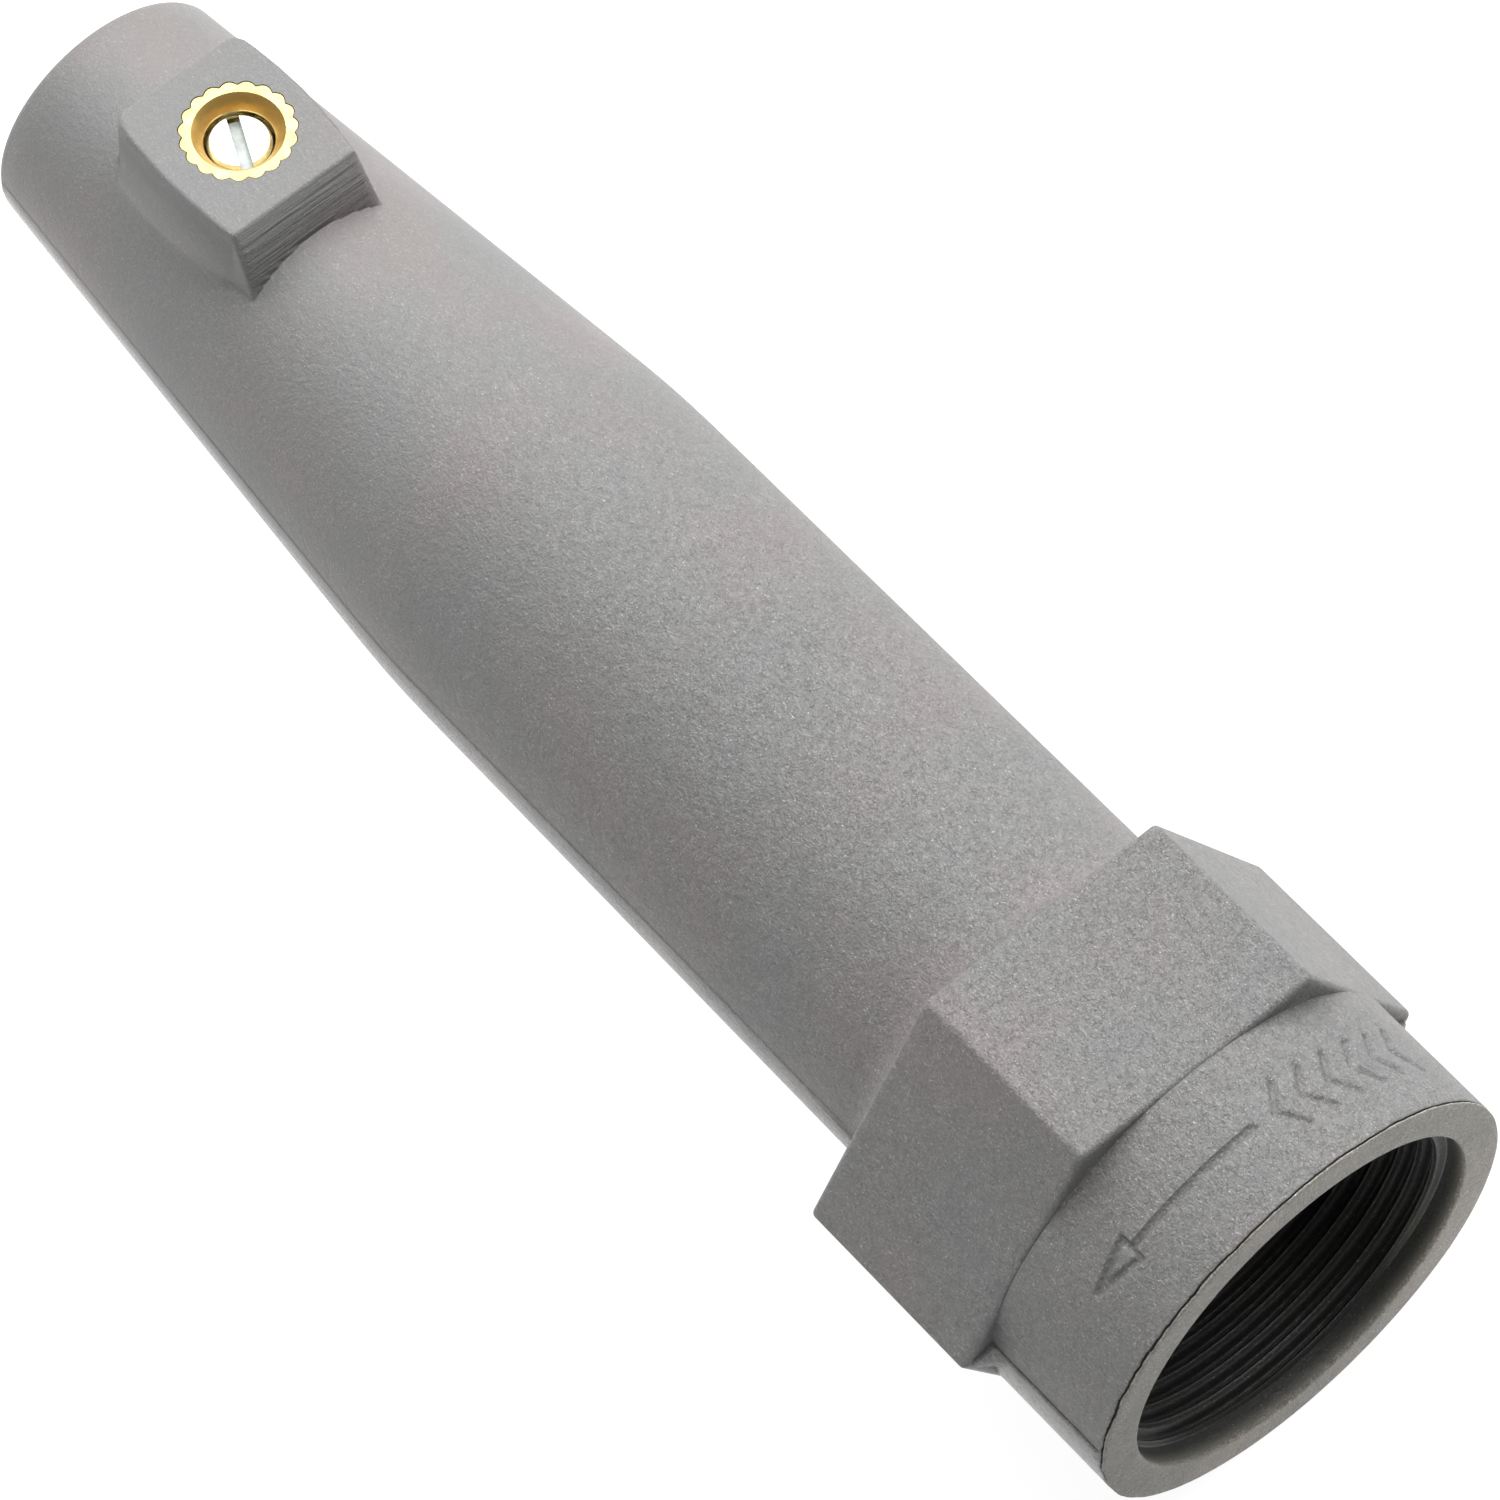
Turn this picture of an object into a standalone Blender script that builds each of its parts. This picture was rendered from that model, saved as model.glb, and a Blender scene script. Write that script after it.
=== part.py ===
"""Threaded adapter nozzle: a tapered grey nylon sleeve with a hexagon, a collar
with a left-hand internal thread, and a boss whose brass insert holds a set screw.

The sleeve's axis runs along X with the threaded mouth at +X. The hexagon's lower
flat lies on z = 0, and the origin is the middle of the box's underside.
"""
import math

import bmesh
import bpy

MM = 0.001

# Driving dimensions, in millimetres. Stations are measured back from the mouth.
LENGTH = 131.5
HEX_ACROSS_FLATS = 36.0
HEX_START = 11.4
HEX_END = 27.3
HEX_FOOT_FILLET = 3.0
HEX_OVERLAP = 1.0
COLLAR_DIAMETER = 36.0
TUBE_DIAMETER_AT_HEX = 29.7
KINK_STATION = 81.5
TUBE_DIAMETER_AT_KINK = 29.35
SMALL_END_DIAMETER = 20.4

COUNTERBORE_DIAMETER = 30.2
COUNTERBORE_DEPTH = 1.9
THREAD_MINOR_DIAMETER = 28.4
THREAD_ROOT_DIAMETER = 29.9
THREAD_PITCH = 1.5
THREAD_LAND = 0.5
THREAD_FLANK_ANGLE = 30.0
THREAD_START = 0.8
THREAD_START_ANGLE = 146.0
THREAD_END = 14.0
THREAD_RELIEF = 1.2
THREAD_CUTTER_OVERLAP = 0.35
SHOULDER_STATION = 17.0
MAIN_BORE_DIAMETER = 24.0
MAIN_BORE_END = 78.0
MAIN_BORE_END_DIAMETER = 23.4
SOCKET_STATION = 100.0
SOCKET_DIAMETER = 15.8

BOSS_CENTRE = 114.1
BOSS_TOP_LENGTH = 13.8
BOSS_TOP_WIDTH = 11.8
BOSS_HEIGHT = 16.2
BOSS_FOOT_HEIGHT = 9.4
BOSS_MOUTH_FLARE = 3.2
BOSS_SIDE_FLARE = 1.2
BOSS_END_FLARE = 0.8
BOSS_FLARE_POWER = 1.6

INSERT_DIAMETER = 8.8
INSERT_VALLEY_DIAMETER = 8.2
INSERT_LENGTH = 7.0
INSERT_TEETH = 19
INSERT_GROOVE_WIDTH = 1.2
INSERT_GROOVE_DIAMETER = 7.6
COUNTERSINK_DIAMETER = 6.85
COUNTERSINK_DEPTH = 0.9
INSERT_HOLE_DIAMETER = 5.3

SCREW_DIAMETER = 4.7
SCREW_LENGTH = 8.0
SCREW_RECESS = 1.25
SCREW_CHAMFER = 0.4
SLOT_WIDTH = 0.95
SLOT_DEPTH = 1.1
SLOT_ANGLE = -25.0

FIT_GAP = 0.3
EDGE_ROUND = 0.6
SMALL_CHAMFER = 0.35

OUTER_STEPS = 56
BORE_STEPS = 40
THREAD_STEPS = 30
INSERT_STEPS_PER_TOOTH = 4
SCREW_STEPS = 40
FILLET_STEPS = 4
ROUND_STEPS = 3
BOSS_LEVELS = 4
SHADE_ANGLE = 35.0
OVERRUN = 4.0
SOCKET_REACH = 3.0

AXIS_HEIGHT = HEX_ACROSS_FLATS / 2
MOUTH_X = LENGTH / 2


def clear_scene():
    """Remove every object that the file opens with."""
    for item in list(bpy.data.objects):
        bpy.data.objects.remove(item, do_unlink=True)


def station_x(station):
    """X of a point that lies `station` millimetres behind the mouth."""
    return (MOUTH_X - station) * MM


def material(name, colour, roughness, metallic):
    """Principled material for one sub-part."""
    made = bpy.data.materials.new(name)
    made.use_nodes = True
    shader = made.node_tree.nodes["Principled BSDF"]
    shader.inputs["Base Color"].default_value = (*colour, 1.0)
    shader.inputs["Roughness"].default_value = roughness
    shader.inputs["Metallic"].default_value = metallic
    return made


def glass_filled_nylon():
    """Matte mid-grey moulded nylon."""
    return material("grey_nylon", (0.24, 0.235, 0.235), 0.62, 0.0)


def turned_brass():
    """Bright turned brass."""
    return material("brass", (0.80, 0.62, 0.25), 0.28, 1.0)


def zinc_plated_steel():
    """Clear zinc plating on steel."""
    return material("zinc_steel", (0.80, 0.82, 0.85), 0.30, 1.0)


def object_from(shape, name, location=(0.0, 0.0, 0.0)):
    """Turn a bmesh into a linked object whose faces point out."""
    bmesh.ops.recalc_face_normals(shape, faces=shape.faces)
    mesh = bpy.data.meshes.new(name)
    shape.to_mesh(mesh)
    shape.free()
    made = bpy.data.objects.new(name, mesh)
    made.location = location
    bpy.context.collection.objects.link(made)
    return made


def turned_along_x(name, outline, steps):
    """Spin an outline of (station, radius) points, which ends on the axis, about X."""
    shape = bmesh.new()
    points = [shape.verts.new((station_x(s), 0.0, r * MM)) for s, r in outline]
    edges = [shape.edges.new(pair) for pair in zip(points, points[1:])]
    bmesh.ops.spin(
        shape, geom=points + edges, cent=(0, 0, 0), axis=(1, 0, 0),
        angle=math.tau, steps=steps, use_duplicate=False,
    )
    bmesh.ops.remove_doubles(shape, verts=shape.verts, dist=1e-6)
    return object_from(shape, name, (0.0, 0.0, AXIS_HEIGHT * MM))


def turned_along_z(name, outline, steps, location):
    """Spin a closed outline of (radius, height) points about its own Z axis."""
    shape = bmesh.new()
    points = [shape.verts.new((r * MM, 0.0, h * MM)) for r, h in outline]
    edges = [shape.edges.new(pair) for pair in zip(points, points[1:])]
    bmesh.ops.spin(
        shape, geom=points + edges, cent=(0, 0, 0), axis=(0, 0, 1),
        angle=math.tau, steps=steps, use_duplicate=False,
    )
    bmesh.ops.remove_doubles(shape, verts=shape.verts, dist=1e-6)
    return object_from(shape, name, location)


def combine(target, other, operation):
    """Add an exact Boolean of `other` to `target` and hide `other`."""
    step = target.modifiers.new(operation.lower(), "BOOLEAN")
    step.operation = operation
    step.solver = "EXACT"
    step.object = other
    other.hide_render = True
    other.display_type = "WIRE"


def shade(item, angle):
    """Shade round faces smooth and keep edges above `angle` degrees sharp."""
    item.data.shade_smooth()
    item.data.set_sharp_from_angle(angle=math.radians(angle))


def arc(centre_station, centre_radius, radius, start, end, count):
    """Points of an arc in the (station, radius) plane, angles in degrees."""
    points = []
    for index in range(count + 1):
        angle = math.radians(start + (end - start) * index / count)
        station = centre_station + radius * math.cos(angle)
        points.append((station, centre_radius + radius * math.sin(angle)))
    return points


def sleeve_outside():
    """Solid outer form of the collar and the tapered tube."""
    collar = COLLAR_DIAMETER / 2
    tube = TUBE_DIAMETER_AT_HEX / 2
    tip = SMALL_END_DIAMETER / 2
    fillet = HEX_FOOT_FILLET
    outline = [(0.0, 0.0), (0.0, collar - SMALL_CHAMFER), (SMALL_CHAMFER, collar)]
    outline += [(HEX_START + HEX_OVERLAP, collar), (HEX_START + HEX_OVERLAP, tube)]
    outline += [(HEX_END - HEX_OVERLAP, tube), (HEX_END - HEX_OVERLAP, tube + fillet)]
    outline += arc(HEX_END + fillet, tube + fillet, fillet, 180, 270, FILLET_STEPS)
    outline += [(KINK_STATION, TUBE_DIAMETER_AT_KINK / 2)]
    outline += arc(LENGTH - EDGE_ROUND, tip - EDGE_ROUND, EDGE_ROUND, 90, 0, ROUND_STEPS)
    outline += [(LENGTH, 0.0)]
    return turned_along_x("nozzle_body", outline, OUTER_STEPS)


def hexagon():
    """Spanner hexagon with a corner to each side and a flat on top and underneath."""
    shape = bmesh.new()
    corner_radius = HEX_ACROSS_FLATS / 2 / math.cos(math.pi / 6)
    ring = []
    for index in range(6):
        angle = math.tau * index / 6
        across = corner_radius * math.cos(angle) * MM
        up = corner_radius * math.sin(angle) * MM
        ring.append(shape.verts.new((station_x(HEX_END), across, up)))
    face = shape.faces.new(ring)
    grown = bmesh.ops.extrude_face_region(shape, geom=[face])
    moved = [item for item in grown["geom"] if isinstance(item, bmesh.types.BMVert)]
    bmesh.ops.translate(shape, verts=moved, vec=((HEX_END - HEX_START) * MM, 0, 0))
    return object_from(shape, "cut_hexagon", (0.0, 0.0, AXIS_HEIGHT * MM))


def boss():
    """Rectangular screw boss whose walls flare out towards the tube."""
    shape = bmesh.new()
    rings = []
    for level in range(BOSS_LEVELS + 1):
        drop = level / BOSS_LEVELS
        flare = drop ** BOSS_FLARE_POWER
        height = BOSS_HEIGHT - (BOSS_HEIGHT - BOSS_FOOT_HEIGHT) * drop
        half_width = BOSS_TOP_WIDTH / 2 + BOSS_SIDE_FLARE * flare
        front = BOSS_CENTRE - BOSS_TOP_LENGTH / 2 - BOSS_MOUTH_FLARE * flare
        back = BOSS_CENTRE + BOSS_TOP_LENGTH / 2 + BOSS_END_FLARE * flare
        corners = [(front, -half_width), (front, half_width), (back, half_width), (back, -half_width)]
        rings.append([shape.verts.new((station_x(s), y * MM, height * MM)) for s, y in corners])
    shape.faces.new(rings[0])
    shape.faces.new(rings[-1][::-1])
    for upper, lower in zip(rings, rings[1:]):
        for index in range(4):
            following = (index + 1) % 4
            shape.faces.new((upper[index], lower[index], lower[following], upper[following]))
    return object_from(shape, "cut_boss", (0.0, 0.0, AXIS_HEIGHT * MM))


def bore():
    """Stepped bore: counterbore, thread core, main bore, taper and pipe socket."""
    socket = SOCKET_DIAMETER / 2
    outline = [(-OVERRUN, 0.0), (-OVERRUN, COUNTERBORE_DIAMETER / 2 + SMALL_CHAMFER)]
    outline += [(0.0, COUNTERBORE_DIAMETER / 2 + SMALL_CHAMFER)]
    outline += [(SMALL_CHAMFER, COUNTERBORE_DIAMETER / 2)]
    outline += [(COUNTERBORE_DEPTH, COUNTERBORE_DIAMETER / 2)]
    outline += [(COUNTERBORE_DEPTH, THREAD_MINOR_DIAMETER / 2)]
    outline += [(SHOULDER_STATION - THREAD_RELIEF, THREAD_MINOR_DIAMETER / 2)]
    outline += [(SHOULDER_STATION, MAIN_BORE_DIAMETER / 2)]
    outline += [(MAIN_BORE_END, MAIN_BORE_END_DIAMETER / 2), (SOCKET_STATION, socket)]
    outline += [(LENGTH - SMALL_CHAMFER, socket), (LENGTH, socket + SMALL_CHAMFER)]
    outline += [(LENGTH + OVERRUN, socket + SMALL_CHAMFER), (LENGTH + OVERRUN, 0.0)]
    return turned_along_x("cut_bore", outline, BORE_STEPS)


def thread_groove():
    """Left-hand helical groove from the counterbore to the end of the thread."""
    shape = bmesh.new()
    minor = THREAD_MINOR_DIAMETER / 2
    root = THREAD_ROOT_DIAMETER / 2
    flank = math.tan(math.radians(THREAD_FLANK_ANGLE))
    inner = minor - THREAD_CUTTER_OVERLAP
    root_half_width = (THREAD_PITCH - THREAD_LAND) / 2 - (root - minor) * flank
    inner_half_width = root_half_width + (root - inner) * flank
    section = [
        (-inner_half_width, inner), (-root_half_width, root),
        (root_half_width, root), (inner_half_width, inner),
    ]
    turns = (THREAD_END - THREAD_START) / THREAD_PITCH
    count = round(turns * THREAD_STEPS)
    rings = []
    for index in range(count + 1):
        angle = math.tau * index / THREAD_STEPS + math.radians(THREAD_START_ANGLE)
        station = THREAD_START + THREAD_PITCH * index / THREAD_STEPS
        ring = []
        for offset, radius in section:
            across = -radius * math.sin(angle)
            up = radius * math.cos(angle)
            ring.append(shape.verts.new((station_x(station + offset), across * MM, up * MM)))
        rings.append(ring)
    shape.faces.new(rings[0])
    shape.faces.new(rings[-1][::-1])
    size = len(section)
    for near, far in zip(rings, rings[1:]):
        for index in range(size):
            following = (index + 1) % size
            shape.faces.new((near[index], far[index], far[following], near[following]))
    return object_from(shape, "cut_thread", (0.0, 0.0, AXIS_HEIGHT * MM))


def insert_pocket():
    """Round pocket for the insert, with the screw's way on into the socket."""
    pocket = INSERT_DIAMETER / 2 + FIT_GAP
    hole = INSERT_HOLE_DIAMETER / 2 + FIT_GAP
    floor = -INSERT_LENGTH - FIT_GAP
    through = -BOSS_HEIGHT + SOCKET_DIAMETER / 2 - SOCKET_REACH
    outline = [(0.0, OVERRUN), (pocket, OVERRUN), (pocket, floor)]
    outline += [(hole, floor), (hole, through), (0.0, through)]
    top = (station_x(BOSS_CENTRE), 0.0, (AXIS_HEIGHT + BOSS_HEIGHT) * MM)
    return turned_along_z("cut_pocket", outline, SCREW_STEPS, top)


def nozzle_body(finish):
    """One-piece moulded sleeve, hexagon, threaded collar and screw boss."""
    body = sleeve_outside()
    combine(body, hexagon(), "UNION")
    combine(body, boss(), "UNION")
    combine(body, bore(), "DIFFERENCE")
    combine(body, thread_groove(), "DIFFERENCE")
    combine(body, insert_pocket(), "DIFFERENCE")
    body.data.materials.append(finish)
    shade(body, SHADE_ANGLE)
    return body


def insert_outline(plain):
    """Radii around the insert: knurl lobes, or a plain ring of the same points."""
    count = INSERT_TEETH * INSERT_STEPS_PER_TOOTH
    middle = (INSERT_DIAMETER + INSERT_VALLEY_DIAMETER) / 4
    swing = (INSERT_DIAMETER - INSERT_VALLEY_DIAMETER) / 4
    ring = []
    for index in range(count):
        turn = math.tau * index / count
        radius = plain if plain else middle + swing * math.cos(turn * INSERT_TEETH)
        ring.append((radius * math.cos(turn), radius * math.sin(turn)))
    return ring


def threaded_insert(finish):
    """Knurled brass insert, grooved round its waist, countersunk at its mouth."""
    shape = bmesh.new()
    hole = INSERT_HOLE_DIAMETER / 2
    waist_top = -(INSERT_LENGTH - INSERT_GROOVE_WIDTH) / 2
    waist_bottom = waist_top - INSERT_GROOVE_WIDTH
    waist = INSERT_GROOVE_DIAMETER / 2
    levels = [
        (0.0, None), (waist_top, None), (waist_top, waist), (waist_bottom, waist),
        (waist_bottom, None), (-INSERT_LENGTH, None), (-INSERT_LENGTH, hole),
        (-COUNTERSINK_DEPTH, hole), (0.0, COUNTERSINK_DIAMETER / 2),
    ]
    rings = []
    for height, plain in levels:
        outline = insert_outline(plain)
        rings.append([shape.verts.new((x * MM, y * MM, height * MM)) for x, y in outline])
    count = len(rings[0])
    for near, far in zip(rings, rings[1:] + rings[:1]):
        for index in range(count):
            following = (index + 1) % count
            shape.faces.new((near[index], far[index], far[following], near[following]))
    top = (station_x(BOSS_CENTRE), 0.0, (AXIS_HEIGHT + BOSS_HEIGHT) * MM)
    insert = object_from(shape, "threaded_insert", top)
    insert.data.materials.append(finish)
    shade(insert, SHADE_ANGLE)
    return insert


def set_screw(finish):
    """Slotted flat-point set screw; its origin is on the screw's own axis."""
    radius = SCREW_DIAMETER / 2
    small = radius - SCREW_CHAMFER
    outline = [(0.0, 0.0), (small, 0.0), (radius, -SCREW_CHAMFER)]
    outline += [(radius, SCREW_CHAMFER - SCREW_LENGTH), (small, -SCREW_LENGTH), (0.0, -SCREW_LENGTH)]
    face = (station_x(BOSS_CENTRE), 0.0, (AXIS_HEIGHT + BOSS_HEIGHT - SCREW_RECESS) * MM)
    screw = turned_along_z("set_screw", outline, SCREW_STEPS, face)
    slot = bmesh.new()
    bmesh.ops.create_cube(slot, size=1.0)
    size = (SCREW_DIAMETER * 2 * MM, SLOT_WIDTH * MM, SLOT_DEPTH * 2 * MM)
    bmesh.ops.scale(slot, verts=slot.verts, vec=size)
    cutter = object_from(slot, "cut_slot", face)
    cutter.rotation_euler = (0.0, 0.0, math.radians(SLOT_ANGLE))
    combine(screw, cutter, "DIFFERENCE")
    screw.data.materials.append(finish)
    shade(screw, SHADE_ANGLE)
    return screw


def build():
    """Make the three pieces of the nozzle."""
    clear_scene()
    nozzle_body(glass_filled_nylon())
    threaded_insert(turned_brass())
    set_screw(zinc_plated_steel())


build()
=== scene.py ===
"""Looks of the threaded adapter nozzle: a moulded grey nylon sleeve with a spanner
hexagon, a collar with a left-hand internal thread, and a boss with a knurled brass
insert and a slotted set screw.

The sleeve is drawn as polar grids round its axis. A station is a distance in
millimetres back from the mouth, and a turn is an angle in degrees from the top,
anticlockwise as seen from the mouth.
"""
import math

import bmesh
import bpy
import numpy as np
from mathutils import Matrix, Vector


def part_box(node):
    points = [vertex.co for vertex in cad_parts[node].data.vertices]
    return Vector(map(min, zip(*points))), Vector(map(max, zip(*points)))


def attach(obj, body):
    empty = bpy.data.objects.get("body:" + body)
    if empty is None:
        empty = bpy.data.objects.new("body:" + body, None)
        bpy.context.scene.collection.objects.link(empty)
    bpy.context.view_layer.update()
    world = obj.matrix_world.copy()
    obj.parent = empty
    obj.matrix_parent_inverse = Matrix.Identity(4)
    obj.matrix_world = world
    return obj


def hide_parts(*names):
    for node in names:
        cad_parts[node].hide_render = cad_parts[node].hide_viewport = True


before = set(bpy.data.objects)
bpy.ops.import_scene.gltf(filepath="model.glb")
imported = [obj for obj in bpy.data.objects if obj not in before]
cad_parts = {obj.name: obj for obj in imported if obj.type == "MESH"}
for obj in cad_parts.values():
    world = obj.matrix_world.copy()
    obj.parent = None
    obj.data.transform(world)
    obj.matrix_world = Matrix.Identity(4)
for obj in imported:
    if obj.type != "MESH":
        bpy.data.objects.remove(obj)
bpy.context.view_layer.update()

MM = 0.001

# Sizes that the frame gives, in millimetres.
body_low, body_high = (np.array(corner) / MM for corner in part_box("nozzle_body"))
insert_low, insert_high = (np.array(corner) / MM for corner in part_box("threaded_insert"))
screw_low, screw_high = (np.array(corner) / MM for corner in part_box("set_screw"))
MOUTH_X = body_high[0]
BOX_LENGTH = body_high[0] - body_low[0]
HEX_APOTHEM = (body_high[2] - body_low[2]) / 2
HEX_CORNER = (body_high[1] - body_low[1]) / 2
AXIS_HEIGHT = body_low[2] + HEX_APOTHEM
BOSS_CENTRE = MOUTH_X - (insert_low[0] + insert_high[0]) / 2
BOSS_HEIGHT = insert_high[2] - AXIS_HEIGHT
INSERT_RADIUS = (insert_high[1] - insert_low[1]) / 2
INSERT_LENGTH = insert_high[2] - insert_low[2]
SCREW_TOP = screw_high[2] - AXIS_HEIGHT
SCREW_LENGTH = screw_high[2] - screw_low[2]

# The moulding, in millimetres.
COLLAR_RADIUS = HEX_APOTHEM + 0.2
HEX_START = 11.4
HEX_END = 27.3
HEX_EDGE_ROUND = 0.45
CREASE_LENGTH = 0.3
# Painted shade in the crease where the collar meets the hexagon.
CREASE_SHADE = 0.92
FOOT_FILLET = 3.0
TUBE_RADIUS_AT_HEX = 14.85
KINK_STATION = 81.5
TUBE_RADIUS_AT_KINK = 14.68
TIP_RADIUS = 10.22
TIP_ROUND = 0.5
TIP_STAND_OUT = 0.25
COUNTERBORE_RADIUS = 15.1
COUNTERBORE_DEPTH = 1.9
THREAD_PITCH = 1.5
THREAD_CREST_RADIUS = 14.2
THREAD_DEPTH = 0.75
THREAD_END = 14.4
SHOULDER_STATION = 17.0
MAIN_BORE_RADIUS = 12.0
MAIN_BORE_END = 78.0
MAIN_BORE_END_RADIUS = 11.7
SOCKET_STATION = 100.0
SOCKET_RADIUS = 7.9
BOSS_HALF_LENGTH = 6.9
BOSS_HALF_WIDTH = 5.72
BOSS_SIDE_SHIFT = 0.38
BOSS_BARREL = 0.62
BOSS_PLAN_ROUND = 1.0
BOSS_SIDE_DRAFT = 0.07
KNURL_TEETH = 19
KNURL_DEPTH = 0.3
POCKET_GAP = 0.03
POCKET_STEPS = 12
SCREW_HOLE_RADIUS = 2.62
LENGTH = BOX_LENGTH + TIP_STAND_OUT
BOSS_FRONT = BOSS_CENTRE - BOSS_HALF_LENGTH
BOSS_BACK = BOSS_CENTRE + BOSS_HALF_LENGTH
BOSS_X = MOUTH_X - BOSS_CENTRE
BOSS_TOP_Z = AXIS_HEIGHT + BOSS_HEIGHT


def smooth_step(value, low, high):
    """0 below low, 1 above high and an S-curve between them."""
    share = np.clip((value - low) / (high - low), 0.0, 1.0)
    return share * share * (3.0 - 2.0 * share)


def soft_min(first, second, width):
    """Smaller of the two, with the corner between them rounded over `width`."""
    overlap = np.clip(width - np.abs(first - second), 0.0, None) / width
    return np.minimum(first, second) - overlap * overlap * width / 4


def soft_max(first, second, width):
    """Larger of the two, with a fillet between them over `width`."""
    return -soft_min(-first, -second, width)


def quarter(count):
    """Sines and cosines of `count` even steps through a quarter turn, ends included."""
    angles = [math.radians(90.0 * index / count) for index in range(count + 1)]
    return [(math.sin(angle), math.cos(angle)) for angle in angles]


def off_turn(turn, centre=0.0):
    """Signed difference between two turns in degrees, from -180 to 180."""
    return (turn - centre + 180.0) % 360.0 - 180.0


def wavy(turn, station, seed):
    """Smooth irregular wave round the sleeve, roughly from -1 to 1."""
    angle = np.radians(turn)
    total = 0.0
    for order in (3, 7, 13, 29, 53):
        phase = seed * order * 1.7 + station * 0.9
        total = total + np.sin(order * angle + phase) / order ** 0.35
    return total / 2.2


def to_space(station, turn, radius):
    """Points in the shared frame, in metres, from polar grids in millimetres."""
    angle = np.radians(turn)
    x = (MOUTH_X - station) * np.ones_like(radius)
    y = -radius * np.sin(angle)
    z = AXIS_HEIGHT + radius * np.cos(angle)
    return np.stack([x, y, z], axis=-1) * MM


# The tone mark carries painted light and shade.
MARKS = ("tone", "ribs", "gloss")


class Sheets:
    """Collects grids of points and the faces between them into one mesh."""

    def __init__(self):
        self.points = []
        self.marks = {name: [] for name in MARKS}
        self.faces = []
        self.slots = []
        self.count = 0

    def add_points(self, points, tone=1.0, ribs=0.0, gloss=0.0):
        """Add an array of points and return their indices in the same shape.

        At each point, tone is painted light and shade that lightens or darkens the finish,
        ribs is how strongly the mould ribs show, and gloss is how much smoother the skin is."""
        flat = points.reshape(-1, 3)
        indices = np.arange(self.count, self.count + len(flat)).reshape(points.shape[:-1])
        self.points.append(flat)
        for name, amount in zip(MARKS, (tone, ribs, gloss)):
            self.marks[name].append(np.broadcast_to(amount, indices.shape).reshape(-1))
        self.count += len(flat)
        return indices

    def add_rings(self, rings, slot=0, skip=None):
        """Join closed rings of indices with quads, except where `skip` is true."""
        rolled = np.roll(rings, -1, axis=1)
        quads = np.stack([rings[:-1], rings[1:], rolled[1:], rolled[:-1]], axis=-1)
        keep = np.ones(quads.shape[:2], bool) if skip is None else ~skip
        chosen = quads[keep]
        self.faces.extend(chosen.tolist())
        slots = np.broadcast_to(np.reshape(slot, (-1, 1)), quads.shape[:2])
        self.slots.extend(slots[keep].tolist())

    def stitch(self, ring_a, turns_a, ring_b, turns_b, slot=0):
        """Join two closed rings with different numbers of points."""
        a, b = 0, 0
        size_a, size_b = len(ring_a), len(ring_b)
        while a < size_a or b < size_b:
            next_a = turns_a[(a + 1) % size_a] + 360.0 * ((a + 1) // size_a)
            next_b = turns_b[(b + 1) % size_b] + 360.0 * ((b + 1) // size_b)
            here_a, here_b = ring_a[a % size_a], ring_b[b % size_b]
            if a < size_a and (b >= size_b or next_a <= next_b):
                a += 1
                self.faces.append([int(here_a), int(here_b), int(ring_a[a % size_a])])
            else:
                b += 1
                self.faces.append([int(here_a), int(here_b), int(ring_b[b % size_b])])
            self.slots.append(slot)

    def to_bmesh(self, windows=()):
        """Make the bmesh, and fill each window between an outer and an inner loop."""
        shape = bmesh.new()
        for name in MARKS:
            shape.verts.layers.float.new(name)
        vertices = [shape.verts.new(point) for point in np.concatenate(self.points)]
        for name in MARKS:
            layer = shape.verts.layers.float[name]
            for vertex, value in zip(vertices, np.concatenate(self.marks[name]).tolist()):
                vertex[layer] = value
        for corners, slot in zip(self.faces, self.slots):
            face = shape.faces.new([vertices[corner] for corner in corners])
            face.material_index = slot
        for outer, inner, slot in windows:
            edges = []
            for loop in (outer, inner):
                for first, second in zip(loop, loop[1:] + loop[:1]):
                    pair = (vertices[first], vertices[second])
                    edges.append(shape.edges.get(pair) or shape.edges.new(pair))
            filled = bmesh.ops.triangle_fill(shape, edges=edges, use_beauty=True, normal=(0, 0, 1))
            for item in filled["geom"]:
                if isinstance(item, bmesh.types.BMFace):
                    item.material_index = slot
        loose = [vertex for vertex in shape.verts if not vertex.link_faces]
        bmesh.ops.delete(shape, geom=loose, context="VERTS")
        bmesh.ops.recalc_face_normals(shape, faces=shape.faces)
        return shape


def place(name, data):
    """New object in the scene's collection."""
    made = bpy.data.objects.new(name, data)
    bpy.context.scene.collection.objects.link(made)
    return made


def plain_mesh(name, shape):
    """Mesh from a bmesh, which is freed."""
    mesh = bpy.data.meshes.new(name)
    shape.to_mesh(mesh)
    shape.free()
    return mesh


def new_object(shape, name, materials, sharp=40.0):
    """Smooth-shaded object with the given materials from a bmesh."""
    mesh = plain_mesh(name, shape)
    mesh.shade_smooth()
    mesh.set_sharp_from_angle(angle=math.radians(sharp))
    for finish in materials:
        mesh.materials.append(finish)
    return place(name, mesh)


# Outer surface

ARROW_STATION = 5.65
ARROW_START = 0.3
ARROW_NECK = 11.7
ARROW_TIP = 16.0
ARROW_HALF_WIDTH = 0.95
MARK_STROKE = 0.24
MARK_SOFTNESS = 0.10
MARK_DEPTH = 0.26
CHEVRON_COUNT = 6
CHEVRON_FIRST = -2.9
CHEVRON_PITCH = 2.45
CHEVRON_LENGTH = 1.35
CHEVRON_HALF_HEIGHT = 1.9
CHEVRON_STATION = 5.45

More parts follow.
